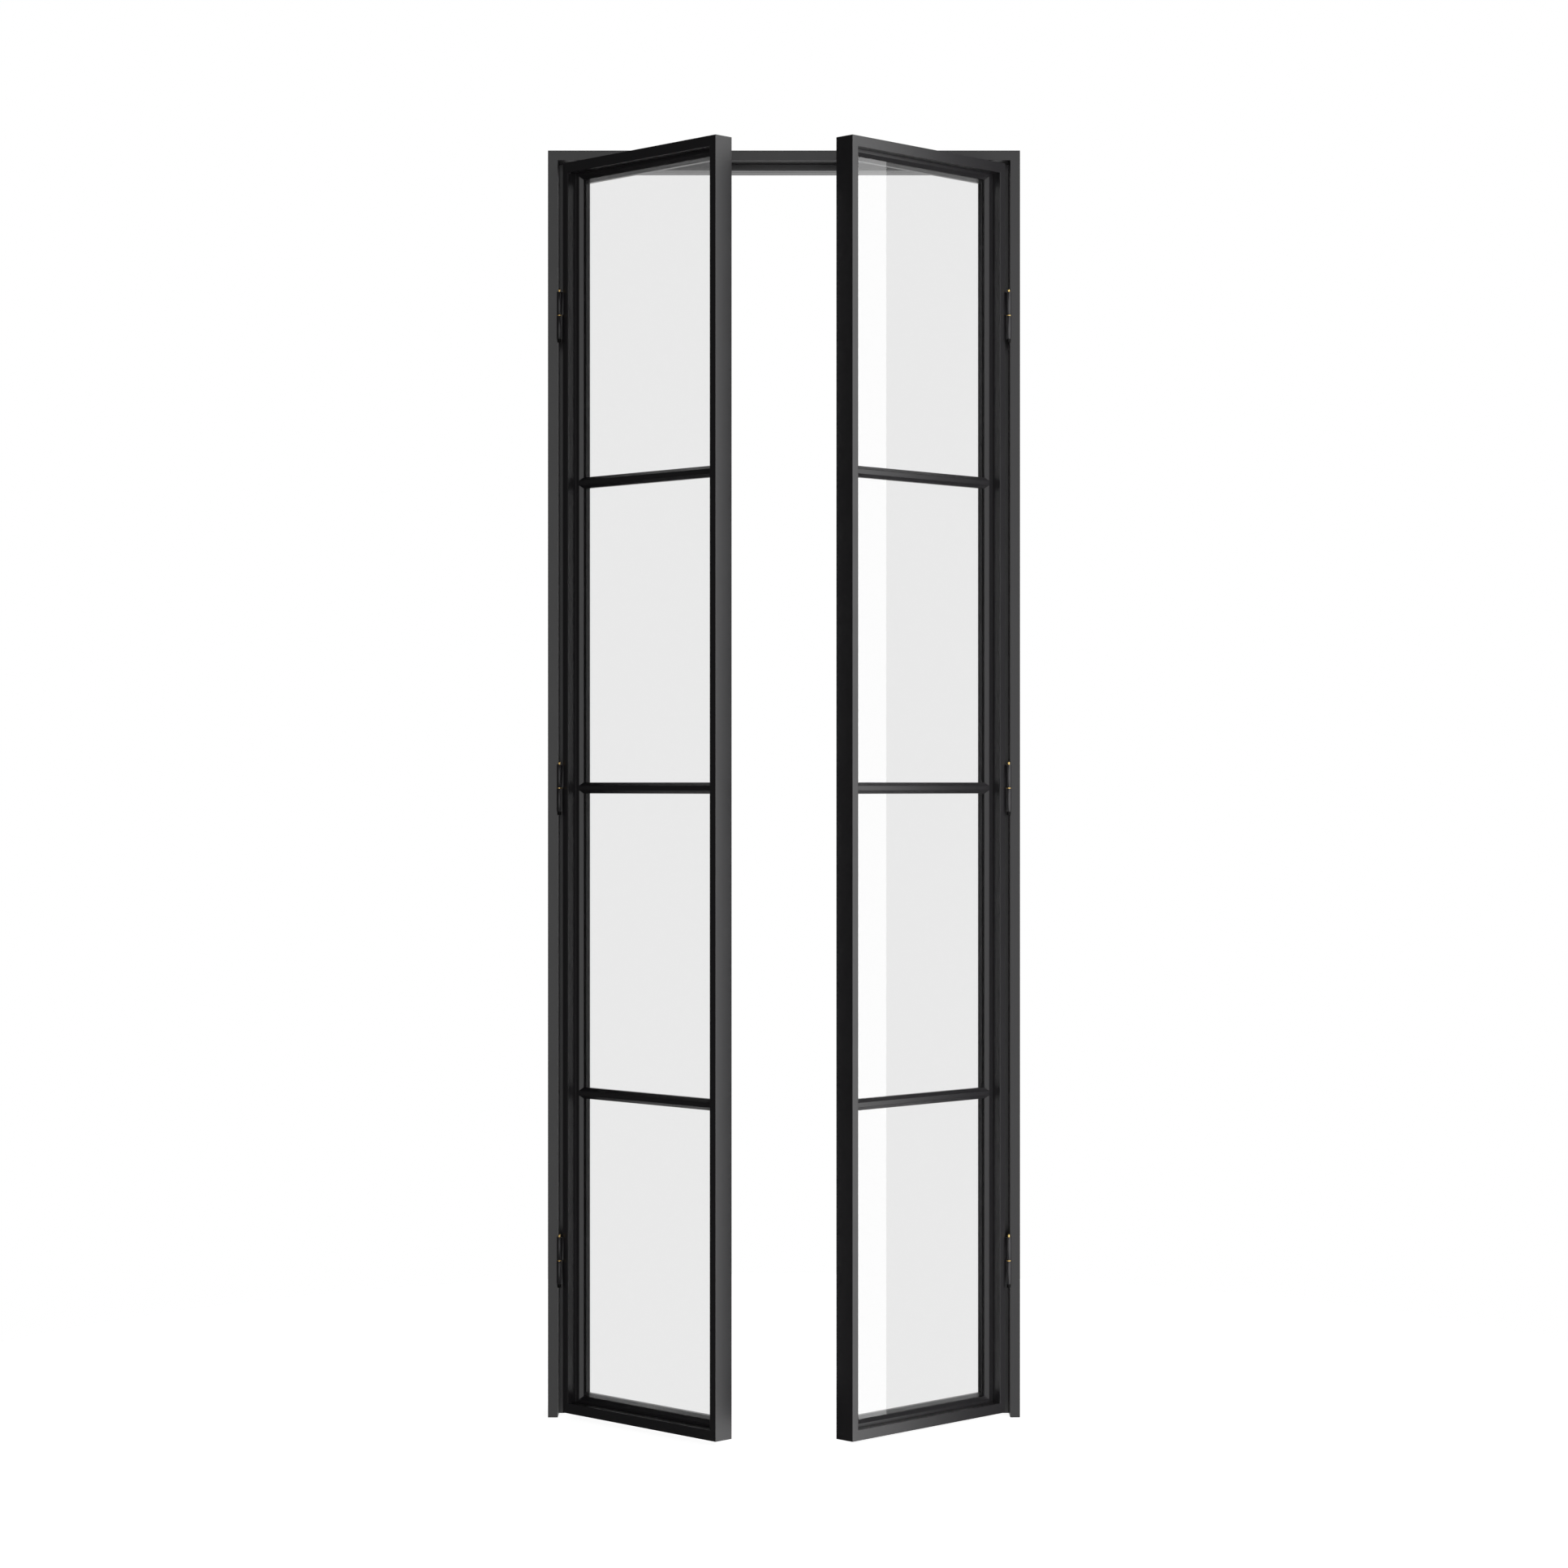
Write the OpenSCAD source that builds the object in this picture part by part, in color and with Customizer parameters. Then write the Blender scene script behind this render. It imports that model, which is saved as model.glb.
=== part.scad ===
// Pair of glazed steel double doors for a pantry, hung in their steel frame.
// X runs along the wall, Y from front to back, Z up. The origin is the centre of the head's
// top face, where the frame is fixed under the lintel. Both leaves are shown standing open.

/* [Frame] */
// Overall width of the frame
frame_w = 762; // [600:1:1200]
// Overall height of the frame from the floor
frame_h = 2045; // [1800:1:2400]
// Depth of the frame from front to back
frame_d = 89; // [75:1:140]
// Width of the front face of the jambs and the head
frame_face = 15.9; // [12:0.1:40]
// How far the door stop stands out from the jambs and the head
stop_h = 9; // [6:0.5:15]
// Clearance between a closed leaf and the stop
stop_gap = 5; // [5:0.1:8]
// Distance from the stop's front edge to its first groove
groove_inset = 4; // [2:0.5:8]
// Distance between the stop's two grooves
groove_pitch = 14; // [8:0.5:20]
// Width of the stop's grooves
groove_w = 1.2; // [0.6:0.1:2.5]
// Depth of the stop's grooves
groove_d = 1.5; // [0.6:0.1:3]

/* [Leaves] */
// Thickness of each leaf
leaf_t = 35; // [32:0.5:45]
// Angle at which both leaves stand open
open_angle = 45; // [0:1:90]
// Gap between a leaf's hinge edge and its jamb
side_gap = 5.5; // [5:0.1:8]
// Gap between the two leaves when they are closed
meeting_gap = 8; // [6:0.1:12]
// Gap between a leaf's top and the head
top_gap = 5.6; // [5:0.1:8]
// Gap between a leaf's bottom and the floor
bottom_gap = 8.7; // [6:0.1:20]

/* [Leaf section] */
// Width of the stiles' front face
stile_face = 13; // [10:0.1:60]
// Height of the rails' front face
rail_face = 16.5; // [10:0.1:80]
// Depth from the leaf's front face to the ledge round each lite
ledge_d = 17.1; // [10:0.1:20]
// Width of the stiles' ledge, and of the muntins' front face
ledge_w = 7.7; // [5:0.1:20]
// Height of the rails' ledge
ledge_h = 5.1; // [4:0.1:20]
// How far the stiles' rear flange reaches past their ledge
stile_reach = 8.8; // [6:0.1:12]
// How far the rails' rear flange reaches past their ledge
rail_reach = 11; // [6:0.1:14]
// How far the muntins' rear flange reaches past their front face
muntin_reach = 4.75; // [4.5:0.05:8]
// Thickness of the glass
glass_t = 4; // [4:0.5:7]
// Gap between the glass and the bars it sits in
glass_gap = 1.5; // [1:0.1:2]

/* [Glazing beads] */
// Width of a bead, from the bar towards the glass
bead_w = 5; // [3:0.1:5]
// Depth of a bead, from the ledge to the glass
bead_d = 6.2; // [4:0.1:7]
// Thickness of a bead's thin edge against the glass
bead_lip = 0.8; // [0.4:0.1:1.5]
// Hairline gap between two beads at a mitred corner
bead_gap = 0.2; // [0.1:0.05:0.5]
// Number of lites, one above the other, in each leaf
lites = 4; // [1:1:6]

/* [Hinges] */
// Outer diameter of the hinge barrels
barrel_dia = 7.8; // [7:0.1:9]
// Length of each barrel, with both knuckles and the washer
barrel_len = 76; // [50:1:120]
// How far the hinge axis stands in front of the frame's face
axis_proud = 4.8; // [4.6:0.1:8]
// Height of the lowest hinge's middle above the floor
hinge_low = 254; // [150:1:350]
// Distance between the hinges
hinge_pitch = 762; // [400:1:800]
// Number of hinges on each leaf
hinges = 3; // [2:1:3]
// Thickness of the weld wings that join the barrels to the steel
wing_t = 3; // [2:0.1:4]
// Length of each weld wing, from the hinge axis
wing_len = 7; // [6.5:0.1:9]
// Chamfer on the ends of the knuckles
knuckle_chamfer = 0.6; // [0.2:0.1:1]
// Diameter of the hinge pins
pin_dia = 4; // [3:0.1:4.5]
// How far the pins' rounded tips stand out of the barrels
pin_tip = 4.6; // [2:0.1:8]
// Radial clearance of a pin in its barrel
pin_clear = 0.08; // [0.05:0.01:0.1]
// Thickness of the washers between the knuckles
washer_t = 1; // [0.8:0.1:2]
// How far the washers stand out past the barrels
washer_proud = 0.2; // [0:0.1:0.6]
// Running gap above each washer
washer_gap = 0.2; // [0.1:0.05:0.3]

/* [Hidden] */
$fn = 48;
big = 5000; // longer than any piece, for mitre cuts
floor_z = -frame_h;
front_y = -frame_d / 2;

rebate_d = leaf_t + stop_gap;
leaf_w = (frame_w - 2 * frame_face - 2 * side_gap - meeting_gap) / 2;
leaf_h = frame_h - frame_face - top_gap - bottom_gap;

axis_x = frame_w / 2 - frame_face - side_gap / 2;
axis_y = front_y - axis_proud;

stile_ledge = stile_face + ledge_w;
rail_ledge = rail_face + ledge_h;
stile_depth = stile_ledge + stile_reach;
rail_depth = rail_ledge + rail_reach;
glass_d = ledge_d + bead_d;
flange_d = glass_d + glass_t;

lite_w = leaf_w - 2 * stile_ledge;
// All lites let the same height of daylight through, between the rear flanges.
lite_pitch = (leaf_h - 2 * rail_depth + ledge_w + 2 * muntin_reach) / lites;

knuckle_len = (barrel_len - washer_t - washer_gap) / 2;

SIDES = ["left", "right"];
LITE_NUMBERS = [for (i = [1:lites]) i];
MUNTIN_NUMBERS = [for (i = [1:lites]) if (i < lites) i];
LEAF_PIECES = ["hinge_stile", "meeting_stile", "top_rail", "bottom_rail", "leaf_knuckles"];
FRAME_PIECES = ["jamb", "jamb_knuckles", "hinge_pins", "hinge_washers"];
NODES = concat(
    ["head"],
    [for (s = SIDES) for (p = FRAME_PIECES) str(s, "_", p)],
    [for (s = SIDES) for (p = LEAF_PIECES) str(s, "_", p)],
    [for (s = SIDES) for (i = MUNTIN_NUMBERS) str(s, "_muntin_", i)],
    [for (s = SIDES) for (i = LITE_NUMBERS) str(s, "_glass_", i)],
    [for (s = SIDES) for (i = LITE_NUMBERS) str(s, "_beads_", i)]
);
node = "all";

STEEL = "#434144";
BEAD_STEEL = "#3c3a3d";
HINGE_STEEL = "#353437";
BRASS = "#b08d4a";
GLASS = "#dfe8e8";

function shown(name) = node == "all" || node == name;
function muntin_z(i) = rail_depth + i * lite_pitch - ledge_w - muntin_reach;
function lite_bottom(i) = i == 1 ? rail_ledge : muntin_z(i - 1) + ledge_w;
function lite_top(i) = i == lites ? leaf_h - rail_ledge : muntin_z(i);
function hinge_z(i) = floor_z + hinge_low + i * hinge_pitch;

// Mirrors its children to the right when side is "right".
module on_side(side) {
    if (side == "left") children();
    else mirror([1, 0, 0]) children();
}

// Puts a piece drawn about the left hinge axis, closed, where the open leaf carries it.
module swung() {
    translate([-axis_x, axis_y, 0]) rotate([0, 0, -open_angle]) children();
}

// Puts a piece drawn from the left leaf's front bottom hinge corner onto that leaf.
module on_leaf() {
    swung() translate([side_gap / 2, axis_proud, floor_z + bottom_gap]) children();
}

// A half-space below the plane that rises at 45 degrees along +X from the given height.
module below_mitre(z0) {
    translate([0, 0, z0]) rotate([0, -45, 0]) translate([-big / 2, -big / 2, -big]) cube(big);
}

// The section of a jamb or the head: X from the wall inwards, Y from the front back.
module frame_section() {
    stop_y = rebate_d + groove_inset;
    difference() {
        square([frame_face + stop_h, frame_d]);
        translate([frame_face, -1]) square([stop_h + 1, rebate_d + 1]);
        for (y = [stop_y, stop_y + groove_pitch])
            translate([frame_face + stop_h - groove_d, y]) square([groove_d + 1, groove_w]);
    }
}

// Left jamb, cut at 45 degrees where it meets the head.
module jamb() {
    color(STEEL) difference() {
        translate([-frame_w / 2, front_y, floor_z]) linear_extrude(frame_h) frame_section();
        translate([-frame_w / 2, 0, 0]) mirror([0, 0, 1]) below_mitre(0);
    }
}

// Head of the frame, between the mitred tops of the jambs.
module head() {
    color(STEEL) difference() {
        translate([frame_w / 2, front_y, 0]) rotate([0, 90, 180]) mirror([0, 1, 0])
            linear_extrude(frame_w) frame_section();
        for (side = SIDES) on_side(side) translate([-frame_w / 2, 0, 0])
            rotate([0, -45, 0]) translate([-big, -big / 2, -big / 2]) cube(big);
    }
}

// A bar from stile to stile that starts x0 from each edge of the leaf and fills the given
// depths and heights.
module across(x0, depths, heights) {
    translate([x0, depths[0], heights[0]])
        cube([leaf_w - 2 * x0, depths[1] - depths[0], heights[1] - heights[0]]);
}

// A stile's section steps in from its front face to the ledge and the rear flange.
module hinge_stile() {
    color(STEEL) linear_extrude(leaf_h) {
        square([stile_face, leaf_t]);
        translate([0, ledge_d]) square([stile_ledge, leaf_t - ledge_d]);
        translate([0, flange_d]) square([stile_depth, leaf_t - flange_d]);
    }
}

module meeting_stile() {
    translate([leaf_w, 0, 0]) mirror([1, 0, 0]) hinge_stile();
}

// Bottom rail, coped to the stiles' steps.
module bottom_rail() {
    color(STEEL) {
        across(stile_face, [0, ledge_d], [0, rail_face]);
        across(stile_ledge, [ledge_d, flange_d], [0, rail_ledge]);
        across(stile_depth, [flange_d, leaf_t], [0, rail_depth]);
    }
}

module top_rail() {
    translate([0, 0, leaf_h]) mirror([0, 0, 1]) bottom_rail();
}

// A muntin: a bar flush with the ledges, with a flange behind the glass above and below it.
module muntin(i) {
    z = muntin_z(i);
    color(STEEL) {
        across(stile_ledge, [ledge_d, flange_d], [z, z + ledge_w]);
        across(stile_depth, [flange_d, leaf_t], [z - muntin_reach, z + ledge_w + muntin_reach]);
    }
}

module glass(i) {
    color(GLASS, 0.35)
        translate([stile_ledge + glass_gap, glass_d, lite_bottom(i) + glass_gap])
            cube([
                lite_w - 2 * glass_gap, glass_t, lite_top(i) - lite_bottom(i) - 2 * glass_gap
            ]);
}

// One bead along the bottom of an opening of the given length, with mitred ends.
module bead(length) {
    difference() {
        rotate([90, 0, 90]) linear_extrude(length)
            polygon([[0, 0], [bead_d, 0], [bead_d, bead_w], [bead_d - bead_lip, bead_w]]);
        for (end = [0, 1])
            translate([end * length, 0, 0]) mirror([end, 0, 0]) translate([bead_gap / 2, 0, 0])
                rotate([0, 45, 0]) translate([-big, -big / 2, -big / 2]) cube(big);
    }
}

// The four beads round one lite.
module beads(i) {
    lite_h = lite_top(i) - lite_bottom(i);
    color(BEAD_STEEL) translate([stile_ledge, ledge_d, lite_bottom(i)]) {
        bead(lite_w);
        translate([0, 0, lite_h]) mirror([0, 0, 1]) bead(lite_w);
        translate([0, 0, lite_h]) rotate([0, 90, 0]) bead(lite_h);
        translate([lite_w, 0, 0]) rotate([0, -90, 0]) bead(lite_h);
    }
}

// A knuckle with its bore and a weld wing that reaches to the corner at [x, y] from the axis.
module knuckle(corner) {
    r = barrel_dia / 2;
    bore_r = pin_dia / 2 + pin_clear;
    c = knuckle_chamfer;
    difference() {
        union() {
            rotate_extrude() polygon([
                [0, 0], [r - c, 0], [r, c], [r, knuckle_len - c], [r - c, knuckle_len],
                [0, knuckle_len]
            ]);
            rotate([0, 0, atan2(corner.y, corner.x)]) translate([0, -wing_t / 2, c])
                cube([wing_len, wing_t, knuckle_len - 2 * c]);
        }
        translate([0, 0, -1]) cylinder(r = bore_r, h = knuckle_len + 2);
        translate([corner.x > 0 ? corner.x : corner.x - big, corner.y, -big / 2]) cube(big);
    }
}

// The upper knuckles of the left leaf's hinges, on the leaf.
module leaf_knuckles() {
    color(HINGE_STEEL) swung() for (i = [0:hinges - 1])
        translate([0, 0, hinge_z(i) + barrel_len / 2 - knuckle_len])
            knuckle([side_gap / 2, axis_proud]);
}

// The lower knuckles, on the left jamb.
module jamb_knuckles() {
    color(HINGE_STEEL) for (i = [0:hinges - 1])
        translate([-axis_x, axis_y, hinge_z(i) - barrel_len / 2])
            knuckle([-side_gap / 2, axis_proud]);
}

module hinge_washers() {
    color(BRASS) for (i = [0:hinges - 1])
        translate([-axis_x, axis_y, hinge_z(i) - barrel_len / 2 + knuckle_len])
            difference() {
                cylinder(r = barrel_dia / 2 + washer_proud, h = washer_t);
                translate([0, 0, -1]) cylinder(r = pin_dia / 2 + pin_clear, h = washer_t + 2);
            }
}

// Brass pins through both knuckles, each with a rounded tip on top.
module hinge_pins() {
    r = pin_dia / 2;
    color(BRASS) for (i = [0:hinges - 1])
        translate([-axis_x, axis_y, hinge_z(i) - barrel_len / 2]) {
            cylinder(r = r, h = barrel_len + pin_tip - r);
            translate([0, 0, barrel_len + pin_tip - r]) sphere(r);
        }
}

if (shown("head")) head();
for (s = SIDES) {
    if (shown(str(s, "_jamb"))) on_side(s) jamb();
    if (shown(str(s, "_jamb_knuckles"))) on_side(s) jamb_knuckles();
    if (shown(str(s, "_hinge_pins"))) on_side(s) hinge_pins();
    if (shown(str(s, "_hinge_washers"))) on_side(s) hinge_washers();
    if (shown(str(s, "_leaf_knuckles"))) on_side(s) leaf_knuckles();
    if (shown(str(s, "_hinge_stile"))) on_side(s) on_leaf() hinge_stile();
    if (shown(str(s, "_meeting_stile"))) on_side(s) on_leaf() meeting_stile();
    if (shown(str(s, "_top_rail"))) on_side(s) on_leaf() top_rail();
    if (shown(str(s, "_bottom_rail"))) on_side(s) on_leaf() bottom_rail();
    for (i = MUNTIN_NUMBERS)
        if (shown(str(s, "_muntin_", i))) on_side(s) on_leaf() muntin(i);
    for (i = LITE_NUMBERS) {
        if (shown(str(s, "_glass_", i))) on_side(s) on_leaf() glass(i);
        if (shown(str(s, "_beads_", i))) on_side(s) on_leaf() beads(i);
    }
}
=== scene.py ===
"""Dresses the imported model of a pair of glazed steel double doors.

It stands in Blender's own units, metres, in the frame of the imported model: X along the wall,
Y from front to back, Z up, with the origin on top of the door frame's head.
"""

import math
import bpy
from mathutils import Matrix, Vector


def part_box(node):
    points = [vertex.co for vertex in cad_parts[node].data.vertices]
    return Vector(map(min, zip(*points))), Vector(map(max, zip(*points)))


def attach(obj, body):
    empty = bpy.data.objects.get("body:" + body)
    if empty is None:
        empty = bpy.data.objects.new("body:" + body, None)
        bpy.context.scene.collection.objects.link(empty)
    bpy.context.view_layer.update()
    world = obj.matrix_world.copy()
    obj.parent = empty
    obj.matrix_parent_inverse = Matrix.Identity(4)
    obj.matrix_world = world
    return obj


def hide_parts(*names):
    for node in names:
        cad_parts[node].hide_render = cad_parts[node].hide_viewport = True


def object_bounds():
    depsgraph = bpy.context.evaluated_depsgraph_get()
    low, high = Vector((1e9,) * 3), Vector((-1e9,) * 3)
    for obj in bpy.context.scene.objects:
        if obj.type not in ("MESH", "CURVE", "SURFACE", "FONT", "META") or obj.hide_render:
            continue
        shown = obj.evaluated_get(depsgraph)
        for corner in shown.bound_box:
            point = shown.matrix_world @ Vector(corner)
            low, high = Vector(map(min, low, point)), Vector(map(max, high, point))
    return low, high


bl_info = {
    "name": "Glazed pantry doors",
    "version": (1, 0, 0),
    "blender": (4, 5, 0),
    "location": "View3D > Sidebar > Pantry Doors",
    "description": "Welds, coats, glazes and hangs a pair of glazed steel double doors",
    "category": "Object",
}

from itertools import product

import bmesh
import bpy
from bpy.props import FloatProperty, FloatVectorProperty, PointerProperty
from bpy.types import Operator, Panel, PropertyGroup, Scene
from mathutils import Matrix, Vector
from mathutils.bvhtree import BVHTree

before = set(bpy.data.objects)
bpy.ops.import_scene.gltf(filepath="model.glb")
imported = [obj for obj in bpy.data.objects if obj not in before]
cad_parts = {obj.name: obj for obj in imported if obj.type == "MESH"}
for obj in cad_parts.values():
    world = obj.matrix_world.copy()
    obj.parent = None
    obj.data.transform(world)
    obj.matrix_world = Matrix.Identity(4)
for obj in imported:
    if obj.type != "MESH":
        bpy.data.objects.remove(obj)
cad_bounds = [list(corner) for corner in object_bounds()]

MM = 0.001
SIDES = ("left", "right")
MERGE = 0.01 * MM  # vertices this close are one vertex
SAME = 0.05 * MM  # levels this close are one level
APART = 0.3  # the hinges on one leaf stand further apart than this
FLAT = math.radians(0.5)  # faces that meet flatter than this are one face
SHARP = math.radians(30)  # edges sharper than this are rounded
WAY = Vector((0.31, 0.47, 0.83)).normalized()  # a direction that lies along no face
SATIN_DRIFT = 0.015  # how far the coat's roughness strays from its middle
TUCK = 0.1 * MM  # how far a plug reaches into its barrel

# The camera stands where the open leaves' perspective in the photo puts it.
CAMERA_AT = (0, -5.6505, -1.0225)
LENS = 79.75
SENSOR = 36

FLOOR_RADIUS = 1.6
FLOOR_GLOW = 0.9  # brings the floor up to white where the camera sees it
WHITE = 4  # watts per square metre at which an area lamp's face is white
# Each lamp's name, place, turn in degrees, size, and the setting that holds its level.
LAMPS = (
    ("front_softbox", (0, -6.6, -1.0), (90, 0, 0), (5, 7), "front_level"),
    ("back_softbox", (0.9, 4.2, -0.8), (-90, 0, -12), (5, 5), "back_level"),
    # Its rear edge is the edge of the bright band that the right panes mirror.
    ("right_panel", (0.9, -0.6, -1.0), (0, 90, 0), (3.4, 0.82), "right_level"),
)


def linear(code):
    """An sRGB hex colour as linear red, green and blue."""
    parts = [int(code[i : i + 2], 16) / 255 for i in (1, 3, 5)]
    return tuple(c / 12.92 if c <= 0.04045 else ((c + 0.055) / 1.055) ** 2.4 for c in parts)


def opaque(colour):
    """A colour with the fourth number that a colour socket takes."""
    return (*colour, 1)


# Settings


class PowderCoat(PropertyGroup):
    """Finish of the frame, the leaves and the glazing beads"""

    colour: FloatVectorProperty(
        name="Coat colour",
        description="Colour of the satin black powder coat on the frame and the leaves",
        subtype="COLOR",
        min=0,
        max=1,
        default=linear("#1e1d1f"),
    )
    roughness: FloatProperty(
        name="Roughness",
        description="Roughness of the satin coat",
        subtype="FACTOR",
        min=0,
        max=1,
        default=0.3,
    )
    peel: FloatProperty(
        name="Peel size",
        description="Distance between the coat's small humps",
        subtype="DISTANCE",
        unit="LENGTH",
        min=0.2 * MM,
        default=1.8 * MM,
    )
    edge: FloatProperty(
        name="Edge radius",
        description="Radius of the coated steel's edges",
        subtype="DISTANCE",
        unit="LENGTH",
        min=0,
        max=1 * MM,
        default=0.5 * MM,
    )
    bead_edge: FloatProperty(
        name="Bead edge radius",
        description="Radius of the glazing beads' edges",
        subtype="DISTANCE",
        unit="LENGTH",
        min=0,
        max=0.4 * MM,
        default=0.2 * MM,
    )


class FloatGlass(PropertyGroup):
    """Finish of the panes"""

    tint: FloatVectorProperty(
        name="Tint",
        description="Colour that white takes behind the glass",
        subtype="COLOR",
        min=0,
        max=1,
        default=linear("#e8e8e8"),
    )


class HingeFinish(PropertyGroup):
    """Finish of the hinges, and the size and near-black colour of their plugs, which paint the
    shade under the barrels
    """

    steel: FloatVectorProperty(
        name="Barrel colour",
        description="Colour of the black enamel on the hinge barrels",
        subtype="COLOR",
        min=0,
        max=1,
        default=linear("#262527"),
    )
    brass: FloatVectorProperty(
        name="Brass colour",
        description="Colour of the turned brass pins and washers",
        subtype="COLOR",
        min=0,
        max=1,
        default=linear("#e6c27c"),
    )
    plug: FloatProperty(
        name="Plug diameter",
        description="Diameter of the plug in the lower end of each barrel",
        subtype="DISTANCE",
        unit="LENGTH",
        min=4 * MM,
        max=7.4 * MM,
        default=6.4 * MM,
    )
    plug_length: FloatProperty(
        name="Plug length",
        description="How far each plug stands out under its barrel",
        subtype="DISTANCE",
        unit="LENGTH",
        min=3 * MM,
        max=8 * MM,
        default=5.5 * MM,
    )
    # The plugs' near-black colour is painted shade for the shadow under each barrel.
    painted_shade: FloatVectorProperty(
        name="Plug colour",
        description="Colour of the black nylon plugs",
        subtype="COLOR",
        min=0,
        max=1,
        default=linear("#080808"),
    )


class Studio(PropertyGroup):
    """Floor colour and light levels"""

    floor: FloatVectorProperty(
        name="Floor colour",
        description="Colour of the studio's pale floor",
        subtype="COLOR",
        min=0,
        max=1,
        default=linear("#efefef"),
    )
    front_level: FloatProperty(
        name="Front softbox",
        description="Brightness of the softbox behind the camera, where 1 is white",
        min=0,
        default=1.1,
    )
    right_level: FloatProperty(
        name="Right panel",
        description="Brightness of the tall panel on the right, where 1 is white",
        min=0,
        default=2.3,
    )
    back_level: FloatProperty(
        name="Back softbox",
        description="Brightness of the softbox behind the doors, where 1 is white",
        min=0,
        default=0.6,
    )
    dim_level: FloatProperty(
        name="Room",
        description="Brightness of the rest of the room, where 1 is white",
        min=0,
        default=0.07,
    )


# Tools


def put(tree, kind, sockets=None, **settings):
    """Adds a node. Sockets names inputs, each with its value or the output it is linked to."""
    node = tree.nodes.new(kind)
    for name, value in settings.items():
        setattr(node, name, value)
    for key, value in (sockets or {}).items():
        if isinstance(value, bpy.types.NodeSocket):
            tree.links.new(value, node.inputs[key])
        else:
            node.inputs[key].default_value = value
    return node


def new_material(name):
    """An empty node material and its tree."""
    material = bpy.data.materials.new(name)
    material.use_nodes = True
    material.node_tree.nodes.clear()
    return material, material.node_tree


def close_material(tree, shader):
    """Sends the finished shader to the material's surface."""
    put(tree, "ShaderNodeOutputMaterial", {"Surface": shader.outputs[0]})


def powder_coat(name, colour, roughness, peel):
    """Satin black polyester powder, baked on steel: dark, with a soft sheen and a fine peel."""
    material, tree = new_material(name)
    place = put(tree, "ShaderNodeTexCoord").outputs["Object"]
    # The film's thickness drifts over some 70 mm, and its satin with it.
    cloud = put(
        tree, "ShaderNodeTexNoise", {"Vector": place, "Scale": 1 / (71.4 * MM), "Detail": 3}
    )
    # Molten powder levels into low humps, the peel, a few micrometres high.
    humps = put(
        tree,
        "ShaderNodeTexNoise",
        {"Vector": place, "Scale": 1 / peel, "Detail": 1, "Roughness": 0.35},
    )
    # Clumps of powder leave a faint salt-and-pepper tone, drawn at 0.3 mm so that it shows.
    grain = put(
        tree,
        "ShaderNodeTexNoise",
        {"Vector": place, "Scale": 1 / (0.3 * MM), "Detail": 2, "Roughness": 0.5},
    )
    tone = put(
        tree,
        "ShaderNodeMapRange",
        {
            "Value": grain.outputs["Fac"],
            "From Min": 0.3,
            "From Max": 0.7,
            "To Min": 0.9,
            "To Max": 1.1,
        },
    )
    # For colours, inputs 6 and 7 are the mix node's two colours, and output 2 is the mix.
    shade = put(
        tree,
        "ShaderNodeMix",
        {0: 1.0, 6: opaque(colour), 7: tone.outputs[0]},
        data_type="RGBA",
        blend_type="MULTIPLY",
    )
    satin = put(
        tree,
        "ShaderNodeMapRange",
        {
            "Value": cloud.outputs["Fac"],
            "From Min": 0.3,
            "From Max": 0.7,
            "To Min": roughness - SATIN_DRIFT,
            "To Max": roughness + SATIN_DRIFT,
        },
    )
    bump = put(
        tree,
        "ShaderNodeBump",
        {"Strength": 0.3, "Distance": 0.008 * MM, "Height": humps.outputs["Fac"]},
    )
    shader = put(
        tree,
        "ShaderNodeBsdfPrincipled",
        {
            "Base Color": shade.outputs[2],
            "Roughness": satin.outputs[0],
            "Normal": bump.outputs[0],
            "IOR": 1.5,
        },
    )
    close_material(tree, shader)
    return material


def clear_float_glass(name, tint):
    """Clear float glass, cast flat on molten tin: sharp mirrored light and a faint grey body."""
    material, tree = new_material(name)
    shader = put(
        tree,
        "ShaderNodeBsdfPrincipled",
        {
            "Base Color": opaque(tint),
            "Roughness": 0.0,
            "IOR": 1.52,
            "Transmission Weight": 1.0,
        },
    )
    close_material(tree, shader)
    return material


def turned_brass(name, colour):
    """Free-cutting brass, turned on a lathe: bright, with fine rings round its axis."""
    material, tree = new_material(name)
    place = put(tree, "ShaderNodeTexCoord").outputs["Object"]
    # The cutter's rings are about 0.1 mm apart, and are drawn at 0.26 mm so that they show.
    # The wave texture has ten waves in each pi.
    pitch = 0.2618 * MM
    rings = put(
        tree,
        "ShaderNodeTexWave",
        {"Vector": place, "Scale": math.pi / 10 / pitch, "Distortion": 1.5, "Detail": 2},
        wave_type="BANDS",
        bands_direction="Z",
    )
    bump = put(
        tree,
        "ShaderNodeBump",
        {"Strength": 0.15, "Distance": 0.02 * MM, "Height": rings.outputs["Fac"]},
    )
    shader = put(
        tree,
        "ShaderNodeBsdfPrincipled",
        {
            "Base Color": opaque(colour),
            "Metallic": 1.0,
            "Roughness": 0.24,
            "Normal": bump.outputs[0],
        },
    )
    close_material(tree, shader)
    return material


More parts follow.
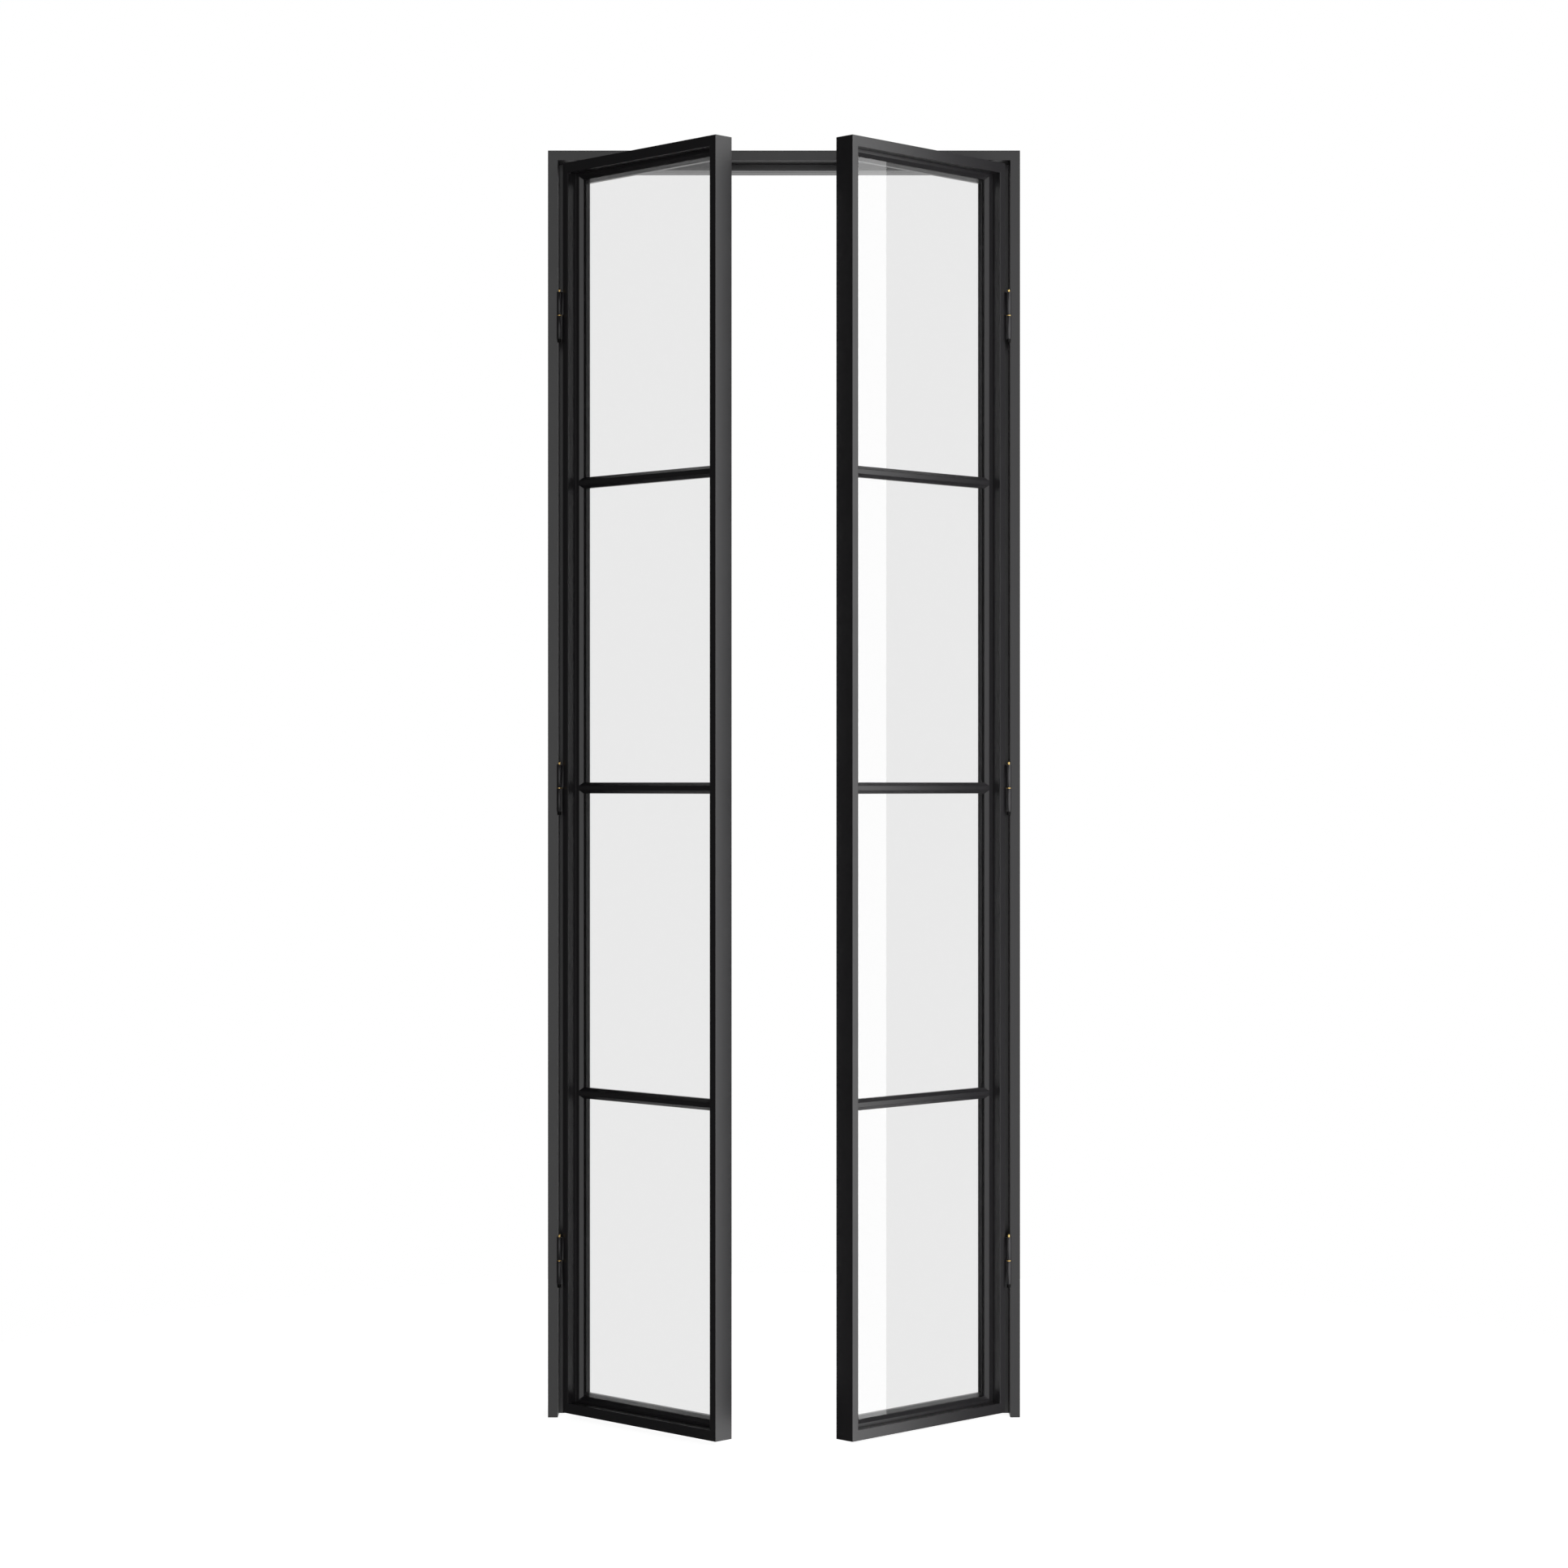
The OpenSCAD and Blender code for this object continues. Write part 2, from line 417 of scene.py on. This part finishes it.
def painted_shade_plug_finish(name, colour):
    """A nearly black, dull, finely pitted plug finish: painted shade for the shadow under each
    barrel.
    """
    material, tree = new_material(name)
    place = put(tree, "ShaderNodeTexCoord").outputs["Object"]
    # The pits are drawn at 0.4 mm so that they show; the low gloss below, not the pits, keeps the
    # plug near black as painted shade.
    mottle = put(
        tree, "ShaderNodeTexNoise", {"Vector": place, "Scale": 1 / (0.4 * MM), "Detail": 2}
    )
    dull = put(
        tree,
        "ShaderNodeMapRange",
        {"Value": mottle.outputs["Fac"], "To Min": 0.5, "To Max": 0.7},
    )
    bump = put(
        tree,
        "ShaderNodeBump",
        {"Strength": 0.2, "Distance": 0.02 * MM, "Height": mottle.outputs["Fac"]},
    )
    shader = put(
        tree,
        "ShaderNodeBsdfPrincipled",
        {
            "Base Color": opaque(colour),
            "Roughness": dull.outputs[0],
            "Normal": bump.outputs[0],
            "IOR": 1.53,
            # Low gloss is painted shade: it keeps the plug as dark as the shadow under the
            # barrel.
            "Specular IOR Level": 0.12,
        },
    )
    close_material(tree, shader)
    return material


def new_piece(name, shell, material):
    """Turns a bmesh into an object of that name and finish."""
    mesh = bpy.data.meshes.new(name)
    shell.to_mesh(mesh)
    shell.free()
    mesh.materials.append(material)
    piece = bpy.data.objects.new(name, mesh)
    bpy.context.scene.collection.objects.link(piece)
    return piece


def merged(node):
    """A CAD node's mesh as one closed shell of flat faces."""
    shell = bmesh.new()
    shell.from_mesh(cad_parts[node].data)
    bmesh.ops.remove_doubles(shell, verts=shell.verts, dist=MERGE)
    bmesh.ops.dissolve_limit(shell, angle_limit=FLAT, verts=shell.verts, edges=shell.edges)
    return shell


def walls_beyond(solid, point):
    """How many of a solid's walls a straight line from the point goes through."""
    count = 0
    hit = solid.ray_cast(point, WAY)[0]
    while hit:
        count += 1
        hit = solid.ray_cast(hit + WAY * MERGE, WAY)[0]
    return count


def apart(numbers):
    """Numbers in order, with those that are nearly equal taken as one."""
    kept = []
    for number in sorted(numbers):
        if not kept or number - kept[-1] > SAME:
            kept.append(number)
    return kept


def welded(nodes, turn=0):
    """Square bars that touch, as one closed shell without the faces where they meet.

    The bars, turned back to lie along the axes, cut space into a grid of boxes. The shell
    goes round the boxes that are steel.
    """
    square = Matrix.Rotation(-turn, 4, "Z")
    bars = [merged(node) for node in nodes]
    for bar in bars:
        bar.transform(square)
    levels = [apart(v.co[axis] for bar in bars for v in bar.verts) for axis in range(3)]
    solids = [BVHTree.FromBMesh(bar) for bar in bars]
    for bar in bars:
        bar.free()

    def is_steel(box):
        middle = Vector([(line[i] + line[i + 1]) / 2 for line, i in zip(levels, box)])
        return any(walls_beyond(solid, middle) % 2 for solid in solids)

    steel = {box for box in product(*(range(len(line) - 1) for line in levels)) if is_steel(box)}
    shell = bmesh.new()
    corners = {}

    def corner(place):
        if place not in corners:
            corners[place] = shell.verts.new([line[i] for line, i in zip(levels, place)])
        return corners[place]

    for box, axis, far in product(sorted(steel), range(3), (0, 1)):
        beside = tuple(i + (2 * far - 1) * (a == axis) for a, i in enumerate(box))
        if beside in steel:
            continue
        ring = []
        for one, two in ((0, 0), (1, 0), (1, 1), (0, 1)):
            place = list(box)
            place[axis] += far
            place[(axis + 1) % 3] += one
            place[(axis + 2) % 3] += two
            ring.append(corner(tuple(place)))
        shell.faces.new(ring if far else ring[::-1])
    bmesh.ops.dissolve_limit(shell, angle_limit=FLAT, verts=shell.verts, edges=shell.edges)
    shell.transform(square.inverted())
    return shell


def turn_of(node):
    """The angle by which a rail is turned from the wall's line, seen from above."""
    bar = merged(node)
    length = max(bar.edges, key=lambda e: (e.verts[0].co - e.verts[1].co).xy.length)
    along = length.verts[0].co - length.verts[1].co
    bar.free()
    return math.atan2(along.y, along.x)


def round_edges(piece, radius):
    """Rounds a piece's sharp edges and keeps its broad faces flat."""
    piece.data.shade_smooth()
    bevel = piece.modifiers.new("Edges", "BEVEL")
    bevel.width = radius
    bevel.segments = 2
    bevel.limit_method = "ANGLE"
    bevel.angle_limit = SHARP
    flats = piece.modifiers.new("Flats", "WEIGHTED_NORMAL")
    flats.mode = "FACE_AREA"
    flats.weight = 100
    return piece


def stand_for(piece, body, nodes):
    """Puts a piece in the place of its CAD nodes."""
    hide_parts(*nodes)
    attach(piece, body)


# Steel


class PANTRY_OT_weld_frame(Operator):
    """Welds the head and both jambs into one coated frame"""

    bl_idname = "pantry.weld_frame"
    bl_label = "Weld the frame"

    def execute(self, context):
        coat = context.scene.pantry_coat
        finish = powder_coat("frame_powder_coat", coat.colour, coat.roughness, coat.peel)
        nodes = ["head", "left_jamb", "right_jamb"]
        piece = round_edges(new_piece("frame_steelwork", welded(nodes), finish), coat.edge)
        stand_for(piece, "frame", nodes)
        return {"FINISHED"}


BARS = ("hinge_stile", "meeting_stile", "top_rail", "bottom_rail")


class PANTRY_OT_weld_leaves(Operator):
    """Welds the stiles, rails and muntins of each leaf"""

    bl_idname = "pantry.weld_leaves"
    bl_label = "Weld the leaves"

    def execute(self, context):
        coat = context.scene.pantry_coat
        finish = powder_coat("leaf_powder_coat", coat.colour, coat.roughness, coat.peel)
        for side in SIDES:
            bars = [f"{side}_{bar}" for bar in BARS]
            bars += sorted(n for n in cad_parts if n.startswith(f"{side}_muntin"))
            shell = welded(bars, turn_of(f"{side}_top_rail"))
            piece = round_edges(new_piece(f"{side}_leaf_steelwork", shell, finish), coat.edge)
            stand_for(piece, f"{side}_leaf", bars)
        return {"FINISHED"}


class PANTRY_OT_fit_beads(Operator):
    """Fits the four mitred beads round each lite"""

    bl_idname = "pantry.fit_beads"
    bl_label = "Fit the glazing beads"

    def execute(self, context):
        coat = context.scene.pantry_coat
        finish = powder_coat("bead_powder_coat", coat.colour, coat.roughness, coat.peel)
        for node in sorted(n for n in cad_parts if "_beads_" in n):
            side = node.split("_")[0]
            piece = round_edges(new_piece(f"{node}_coated", merged(node), finish), coat.bead_edge)
            stand_for(piece, f"{side}_leaf", [node])
        return {"FINISHED"}


# Glass


class PANTRY_OT_glaze(Operator):
    """Glazes each lite with clear float glass"""

    bl_idname = "pantry.glaze"
    bl_label = "Glaze the lites"

    def execute(self, context):
        finish = clear_float_glass("clear_float_glass", context.scene.pantry_glass.tint)
        for node in sorted(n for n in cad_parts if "_glass_" in n):
            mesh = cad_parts[node].data
            mesh.materials.clear()
            mesh.materials.append(finish)
        return {"FINISHED"}


# Hinges


REPEAT = "Repeat up the hinge line"


def repeat_up():
    """The tree that repeats a piece at equal steps up the hinge line, built at its first use."""
    made = bpy.data.node_groups.get(REPEAT)
    if made:
        return made
    tree = bpy.data.node_groups.new(REPEAT, "GeometryNodeTree")
    for name, kind in (
        ("Geometry", "NodeSocketGeometry"),
        ("Count", "NodeSocketInt"),
        ("Pitch", "NodeSocketFloat"),
        ("Finish", "NodeSocketMaterial"),
    ):
        tree.interface.new_socket(name, in_out="INPUT", socket_type=kind)
    tree.interface.new_socket("Geometry", in_out="OUTPUT", socket_type="NodeSocketGeometry")
    given = put(tree, "NodeGroupInput").outputs
    step = put(tree, "ShaderNodeCombineXYZ", {"Z": given["Pitch"]})
    line = put(
        tree,
        "GeometryNodeMeshLine",
        {"Count": given["Count"], "Offset": step.outputs[0]},
        mode="OFFSET",
    )
    copies = put(
        tree,
        "GeometryNodeInstanceOnPoints",
        {"Points": line.outputs[0], "Instance": given["Geometry"]},
    )
    real = put(tree, "GeometryNodeRealizeInstances", {"Geometry": copies.outputs[0]})
    coated = put(
        tree,
        "GeometryNodeSetMaterial",
        {"Geometry": real.outputs[0], "Material": given["Finish"]},
    )
    put(tree, "NodeGroupOutput", {"Geometry": coated.outputs[0]})
    return tree


def hinge_levels(node):
    """How many hinges a node's mesh holds, their pitch, and the lowest one's bottom and top."""
    heights = sorted({round(v.co.z, 5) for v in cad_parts[node].data.vertices})
    breaks = [pair for pair in zip(heights, heights[1:]) if pair[1] - pair[0] > APART]
    starts = [heights[0]] + [above for below, above in breaks]
    ends = [below for below, above in breaks] + [heights[-1]]
    pitch = starts[1] - starts[0] if breaks else 0
    return len(starts), pitch, starts[0], ends[0]


def plain_mesh(piece):
    """Turns what a piece's modifiers make into its own mesh."""
    seen = piece.evaluated_get(bpy.context.evaluated_depsgraph_get())
    mesh = bpy.data.meshes.new_from_object(seen)
    piece.modifiers.clear()
    piece.data = mesh


def repeat(piece, count, pitch, finish):
    """Repeats a piece up the hinge line as one plain mesh with smooth rounds and sharp edges."""
    tree = repeat_up()
    copies = piece.modifiers.new("Repeat", "NODES")
    copies.node_group = tree
    inputs = {s.name: s.identifier for s in tree.interface.items_tree if s.in_out == "INPUT"}
    copies[inputs["Count"]] = count
    copies[inputs["Pitch"]] = pitch
    copies[inputs["Finish"]] = finish
    plain_mesh(piece)
    piece.data.shade_smooth()
    piece.data.set_sharp_from_angle(angle=SHARP)


def turned(profile, at):
    """A closed shell turned from a profile of radii and heights about an upright axis."""
    shell = bmesh.new()
    corners = [shell.verts.new((radius, 0, height)) for radius, height in profile]
    lines = [shell.edges.new(pair) for pair in zip(corners, corners[1:])]
    bmesh.ops.spin(
        shell, geom=corners + lines, axis=(0, 0, 1), cent=(0, 0, 0), angle=2 * math.pi, steps=32
    )
    bmesh.ops.remove_doubles(shell, verts=shell.verts, dist=MERGE)
    bmesh.ops.recalc_face_normals(shell, faces=shell.faces)
    bmesh.ops.translate(shell, verts=shell.verts, vec=at)
    return shell


class PANTRY_OT_hang(Operator):
    """Hangs the leaves on barrel hinges with brass pins and washers"""

    bl_idname = "pantry.hang"
    bl_label = "Hang the leaves"

    def execute(self, context):
        hinge = context.scene.pantry_hinge
        coat = context.scene.pantry_coat
        enamel = powder_coat("hinge_enamel", hinge.steel, coat.roughness, coat.peel)
        brass = turned_brass("turned_brass", hinge.brass)
        for side in SIDES:
            for part, body, slot, finish in (
                ("leaf_knuckles", f"{side}_leaf", "hinge_steel", enamel),
                ("jamb_knuckles", "frame", "hinge_steel", enamel),
                ("hinge_pins", "frame", "brass", brass),
                ("hinge_washers", "frame", "brass", brass),
            ):
                node = f"{side}_{part}"
                count, pitch, _, top = hinge_levels(node)
                shell = bmesh.new()
                shell.from_mesh(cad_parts[node].data)
                above = [v for v in shell.verts if v.co.z > top + MM]
                bmesh.ops.delete(shell, geom=above, context="VERTS")
                bmesh.ops.remove_doubles(shell, verts=shell.verts, dist=MERGE)
                piece = new_piece(f"{node}_turned", shell, finish)
                repeat(piece, count, pitch, finish)
                stand_for(piece, body, [node])
        return {"FINISHED"}


class PANTRY_OT_plug(Operator):
    """Puts a near-black plug in the lower end of each hinge barrel, painted shade for the shadow
    below it
    """

    bl_idname = "pantry.plug"
    bl_label = "Plug the hinge barrels"

    def execute(self, context):
        hinge = context.scene.pantry_hinge
        radius, length = hinge.plug / 2, hinge.plug_length
        rim = 0.6 * MM
        socket = 0.42 * radius
        # From the top down the side, round the rim and up into a small socket.
        profile = (
            (0, TUCK),
            (radius, TUCK),
            (radius, rim - length),
            (radius - rim / 3, rim / 3 - length),
            (radius - rim, -length),
            (0.5 * radius, -length),
            (socket, 0.15 * MM - length),
            (socket, 1.8 * MM - length),
            (0, 2.2 * MM - length),
        )
        # The plugs' finish is near black as painted shade for the shadow under each barrel.
        finish = painted_shade_plug_finish("painted_shade_black", hinge.painted_shade)
        for side in SIDES:
            count, pitch, bottom, _ = hinge_levels(f"{side}_jamb_knuckles")
            low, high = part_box(f"{side}_hinge_washers")
            at = ((low[0] + high[0]) / 2, (low[1] + high[1]) / 2, bottom)
            piece = new_piece(f"{side}_hinge_shade_plugs", turned(profile, at), finish)
            repeat(piece, count, pitch, finish)
            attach(piece, "frame")
        return {"FINISHED"}


# Studio


def soft_lamp(name, at, turn, size, level):
    """Adds a soft area lamp, seen in gloss but not by the camera or through the glass."""
    data = bpy.data.lights.new(name, "AREA")
    data.shape = "RECTANGLE"
    data.size, data.size_y = size
    data.energy = level * WHITE * size[0] * size[1]
    lamp = bpy.data.objects.new(name, data)
    lamp.location = at
    lamp.rotation_euler = [math.radians(t) for t in turn]
    lamp.visible_camera = False
    lamp.visible_transmission = False
    bpy.context.scene.collection.objects.link(lamp)


class PANTRY_OT_set_stage(Operator):
    """Sets the pale floor, the lamps, the world and the camera"""

    bl_idname = "pantry.set_stage"
    bl_label = "Set the stage"

    def execute(self, context):
        studio = context.scene.pantry_studio
        self.set_floor(studio)
        self.set_world(studio)
        for name, at, turn, size, level in LAMPS:
            soft_lamp(name, at, turn, size, getattr(studio, level))
        self.set_camera()
        context.scene.view_settings.view_transform = "Standard"
        return {"FINISHED"}

    def set_floor(self, studio):
        """A pale disc under the doors that takes their shadow and shows white."""
        disc = bmesh.new()
        bmesh.ops.create_circle(disc, cap_ends=True, segments=96, radius=FLOOR_RADIUS)
        material, tree = new_material("pale_floor")
        rays = put(tree, "ShaderNodeLightPath").outputs
        paint = put(tree, "ShaderNodeBsdfDiffuse", {"Color": opaque(studio.floor)})
        pale = put(tree, "ShaderNodeEmission", {"Strength": FLOOR_GLOW})
        lit = put(tree, "ShaderNodeAddShader", {0: pale.outputs[0], 1: paint.outputs[0]})
        direct = put(
            tree,
            "ShaderNodeMixShader",
            {0: rays["Is Camera Ray"], 1: paint.outputs[0], 2: lit.outputs[0]},
        )
        # Behind the glass the floor is as white as the surround, with no horizon between them.
        white = put(tree, "ShaderNodeEmission", {"Strength": 1.0})
        mixed = put(
            tree,
            "ShaderNodeMixShader",
            {0: rays["Is Transmission Ray"], 1: direct.outputs[0], 2: white.outputs[0]},
        )
        close_material(tree, mixed)
        floor = new_piece("floor", disc, material)
        floor.location.z = cad_bounds[0][2]
        floor.visible_glossy = False
        floor.visible_shadow = False

    def set_world(self, studio):
        """A dim room with a white surround behind the doors and in the glass."""
        world = bpy.data.worlds.new("studio")
        bpy.context.scene.world = world
        world.use_nodes = True
        tree = world.node_tree
        tree.nodes.clear()
        rays = put(tree, "ShaderNodeLightPath").outputs
        # Clear glass mirrors the white surround sharply, as Is Singular Ray tells.
        sharp = put(
            tree,
            "ShaderNodeMath",
            {0: rays["Is Singular Ray"], 1: rays["Is Transmission Ray"]},
            operation="MAXIMUM",
        )
        seen = put(
            tree,
            "ShaderNodeMath",
            {0: rays["Is Camera Ray"], 1: sharp.outputs[0]},
            operation="MAXIMUM",
        )
        dim = put(
            tree, "ShaderNodeBackground", {"Color": (1, 1, 1, 1), "Strength": studio.dim_level}
        )
        white = put(tree, "ShaderNodeBackground", {"Color": (1, 1, 1, 1), "Strength": 1.0})
        mixed = put(
            tree,
            "ShaderNodeMixShader",
            {0: seen.outputs[0], 1: dim.outputs[0], 2: white.outputs[0]},
        )
        put(tree, "ShaderNodeOutputWorld", {"Surface": mixed.outputs[0]})

    def set_camera(self):
        """A camera on the doorway's centre line, level, at the photo's distance."""
        data = bpy.data.cameras.new("camera")
        data.lens = LENS
        data.sensor_width = SENSOR
        data.sensor_fit = "HORIZONTAL"
        camera = bpy.data.objects.new("camera", data)
        camera.location = CAMERA_AT
        camera.rotation_euler = (math.pi / 2, 0, 0)
        bpy.context.scene.collection.objects.link(camera)
        bpy.context.scene.camera = camera


# Add-on


class PANTRY_PT_sidebar(Panel):
    """Lists the settings and the steps in the sidebar"""

    bl_label = "Pantry doors"
    bl_idname = "PANTRY_PT_sidebar"
    bl_space_type = "VIEW_3D"
    bl_region_type = "UI"
    bl_category = "Pantry Doors"

    def draw(self, context):
        for title, (held, group) in SETTINGS.items():
            box = self.layout.box()
            box.label(text=title)
            for name in group.__annotations__:
                box.prop(getattr(context.scene, held), name)
        for operator in OPERATORS:
            self.layout.operator(operator.bl_idname)


SETTINGS = {
    "Powder coat": ("pantry_coat", PowderCoat),
    "Glass": ("pantry_glass", FloatGlass),
    "Hinges": ("pantry_hinge", HingeFinish),
    "Studio": ("pantry_studio", Studio),
}
OPERATORS = (
    PANTRY_OT_set_stage,
    PANTRY_OT_weld_frame,
    PANTRY_OT_weld_leaves,
    PANTRY_OT_fit_beads,
    PANTRY_OT_glaze,
    PANTRY_OT_hang,
    PANTRY_OT_plug,
)


def register():
    """Registers the settings, the steps and the panel."""
    for name, group in SETTINGS.values():
        bpy.utils.register_class(group)
        setattr(Scene, name, PointerProperty(type=group))
    for made in (*OPERATORS, PANTRY_PT_sidebar):
        bpy.utils.register_class(made)


def unregister():
    """Takes them back in reverse."""
    for made in (PANTRY_PT_sidebar, *reversed(OPERATORS)):
        bpy.utils.unregister_class(made)
    for name, group in SETTINGS.values():
        delattr(Scene, name)
        bpy.utils.unregister_class(group)


def main():
    """Sets the stage and makes every piece."""
    register()
    bpy.ops.pantry.set_stage()
    bpy.ops.pantry.weld_frame()
    bpy.ops.pantry.weld_leaves()
    bpy.ops.pantry.fit_beads()
    bpy.ops.pantry.glaze()
    bpy.ops.pantry.hang()
    bpy.ops.pantry.plug()


if __name__ == "__main__":
    main()
